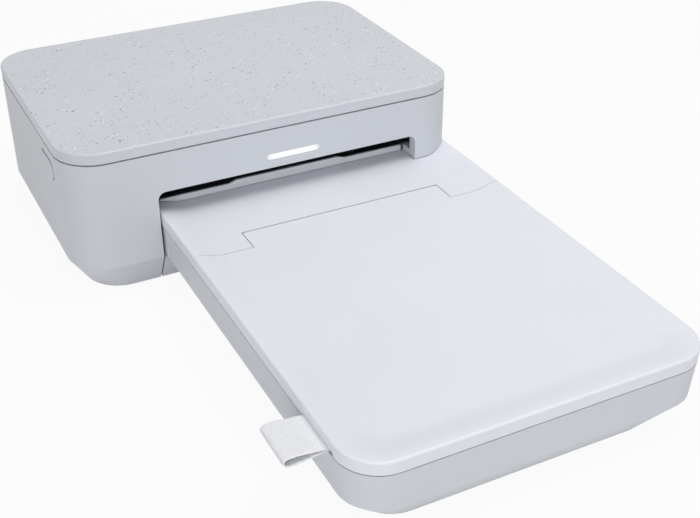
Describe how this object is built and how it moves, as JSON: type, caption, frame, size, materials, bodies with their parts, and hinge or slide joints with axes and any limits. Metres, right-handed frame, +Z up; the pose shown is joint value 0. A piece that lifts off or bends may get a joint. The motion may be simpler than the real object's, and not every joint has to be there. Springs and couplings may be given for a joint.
{
  "type": "compact photo printer",
  "caption": "Compact dye-sublimation photo printer with a hinged-lid paper tray, ribbon cartridge behind a side door, print head, rollers and gear train.",
  "frame": {"origin": "centre of the bounding box's base, on the surface that the printer stands on", "axes": "+X to the right seen from the front, +Y from the tray to the printer's rear, +Z up"},
  "size_m": [0.1783, 0.2992, 0.068],
  "materials": {
    "speckled_cover": "fine matt texture with dark and white specks",
    "pale_shell": "fine matt texture",
    "pale_tray": "fine satin texture",
    "tub_plastic": "fine matt texture",
    "dark_plastic": "satin",
    "light_bar": "translucent light guide",
    "circuit_board": "solder mask",
    "sheet_steel": "zinc plated",
    "shaft_steel": "ground",
    "motor_can": "nickel plated",
    "gear_plastic": "natural acetal",
    "brass_pinion": "machined",
    "roller_rubber": "ground rubber",
    "foot_rubber": "moulded",
    "cartridge_plastic": "satin",
    "ribbon_film": "glossy film",
    "sink_aluminium": "extruded",
    "tag_fabric": "woven ribbon"
  },
  "bodies": {
    "printer": {"top_cover": "speckled_cover", "outer_shell": "pale_shell", "base_plate": "pale_shell", "exit_lip": "tub_plastic", "exit_guide": "dark_plastic", "led_window": "light_bar", "led_board": "circuit_board", "chassis_left_plate": "sheet_steel", "chassis_right_plate": "sheet_steel", "rear_tie_bar": "sheet_steel", "head_pivot_shaft": "shaft_steel", "pickup_arm": "dark_plastic", "pickup_belt": "roller_rubber", "front_paper_guide": "dark_plastic", "rear_paper_guide": "dark_plastic", "gearbox_plate": "sheet_steel", "gearbox_posts": "shaft_steel", "idler_axle": "shaft_steel", "feed_motor": "motor_can", "ribbon_motor": "motor_can", "roller_bushes": "gear_plastic", "main_board": "circuit_board", "board_components": "dark_plastic", "power_jack": "dark_plastic", "usb_port": "shaft_steel", "button_board": "circuit_board", "button_spring": "shaft_steel", "fan_housing": "dark_plastic", "base_screws": "shaft_steel", "cover_screws": "shaft_steel", "printer_feet": "foot_rubber", "ribbon_cartridge": "cartridge_plastic", "ribbon_film": "ribbon_film", "door_hinge_pin": "shaft_steel"},
    "tray": {"tray_base": "tub_plastic", "tray_rear_cover": "pale_tray", "lid_hinge_pin": "shaft_steel", "tray_screws": "shaft_steel", "tray_feet": "foot_rubber", "lift_springs": "shaft_steel"},
    "lid": {"tray_lid": "pale_tray", "pull_tag": "tag_fabric"},
    "lift_plate": {"lift_plate": "sheet_steel"},
    "button": {"power_button": "pale_shell"},
    "door": {"cartridge_door": "pale_shell"},
    "capstan": {"capstan_roller": "roller_rubber", "capstan_gear": "gear_plastic"},
    "idler": {"idler_gear": "gear_plastic"},
    "feed_pinion": {"feed_pinion": "brass_pinion"},
    "pinch": {"pinch_roller": "shaft_steel"},
    "platen": {"platen_roller": "roller_rubber"},
    "pickup": {"pickup_roller": "roller_rubber"},
    "take_up": {"take_up_spool": "cartridge_plastic", "take_up_gear": "gear_plastic"},
    "ribbon_pinion": {"ribbon_pinion": "brass_pinion"},
    "supply": {"supply_spool": "ribbon_film"},
    "fan": {"fan_rotor": "dark_plastic"},
    "head": {"head_arm": "sheet_steel", "heat_sink": "sink_aluminium", "thermal_head": "dark_plastic"}
  },
  "joints": [
    {"name": "tray_slide", "type": "slide", "parent": "printer", "child": "tray", "axis": [0, -1, 0], "range_m": [0, 0.06]},
    {"name": "lid_hinge", "type": "hinge", "parent": "tray", "child": "lid", "pos_m": [0.0168, -0.0015, 0.031], "axis": [-1, 0, 0], "range_deg": [0, 85]},
    {"name": "lift_plate_pivot", "type": "hinge", "parent": "tray", "child": "lift_plate", "pos_m": [0.01785, -0.0619, 0.0206], "axis": [1, 0, 0], "range_deg": [0, 3.5], "deforming": ["lift_springs"]},
    {"name": "power_button_press", "type": "slide", "parent": "printer", "child": "button", "axis": [1, 0, 0], "range_m": [0, 0.001], "stiffness_N_per_m": 600, "deforming": ["button_spring"]},
    {"name": "cartridge_door_hinge", "type": "hinge", "parent": "printer", "child": "door", "pos_m": [0.0878, 0.0896, 0.042], "axis": [0, 1, 0], "range_deg": [0, 95]},
    {"name": "capstan_spin", "type": "hinge", "parent": "printer", "child": "capstan", "pos_m": [0.01, 0.0641, 0.03355], "axis": [1, 0, 0], "continuous": true},
    {"name": "idler_spin", "type": "hinge", "parent": "printer", "child": "idler", "pos_m": [-0.057, 0.07385, 0.01962], "axis": [1, 0, 0], "continuous": true},
    {"name": "feed_pinion_spin", "type": "hinge", "parent": "printer", "child": "feed_pinion", "pos_m": [-0.057, 0.08338, 0.01412], "axis": [1, 0, 0], "continuous": true},
    {"name": "pinch_spin", "type": "hinge", "parent": "printer", "child": "pinch", "pos_m": [0.01, 0.0641, 0.04115], "axis": [1, 0, 0], "continuous": true},
    {"name": "platen_spin", "type": "hinge", "parent": "printer", "child": "platen", "pos_m": [0.01, 0.0861, 0.03155], "axis": [1, 0, 0], "continuous": true},
    {"name": "pickup_spin", "type": "hinge", "parent": "printer", "child": "pickup", "pos_m": [0.018, 0.0446, 0.0335], "axis": [1, 0, 0], "continuous": true},
    {"name": "take_up_spin", "type": "hinge", "parent": "printer", "child": "take_up", "pos_m": [0.01, 0.0631, 0.0516], "axis": [1, 0, 0], "continuous": true},
    {"name": "ribbon_pinion_spin", "type": "hinge", "parent": "printer", "child": "ribbon_pinion", "pos_m": [-0.057, 0.0741, 0.0516], "axis": [1, 0, 0], "continuous": true},
    {"name": "supply_spin", "type": "hinge", "parent": "printer", "child": "supply", "pos_m": [0.01, 0.1141, 0.0502], "axis": [1, 0, 0], "continuous": true},
    {"name": "fan_spin", "type": "hinge", "parent": "printer", "child": "fan", "pos_m": [0.048, 0.1431, 0.0255], "axis": [0, 1, 0], "continuous": true},
    {"name": "head_lift", "type": "hinge", "parent": "printer", "child": "head", "pos_m": [0.01, 0.1011, 0.052], "axis": [-1, 0, 0], "range_deg": [0, 6]}
  ],
  "couplings": [
    {"joint": "idler_spin", "follows": "capstan_spin", "ratio": -1.125},
    {"joint": "feed_pinion_spin", "follows": "capstan_spin", "ratio": 3},
    {"joint": "pinch_spin", "follows": "capstan_spin", "ratio": -2},
    {"joint": "platen_spin", "follows": "capstan_spin", "ratio": 0.71429},
    {"joint": "pickup_spin", "follows": "capstan_spin", "ratio": 1},
    {"joint": "ribbon_pinion_spin", "follows": "take_up_spin", "ratio": -2.6667},
    {"joint": "supply_spin", "follows": "take_up_spin", "ratio": 0.75}
  ]
}
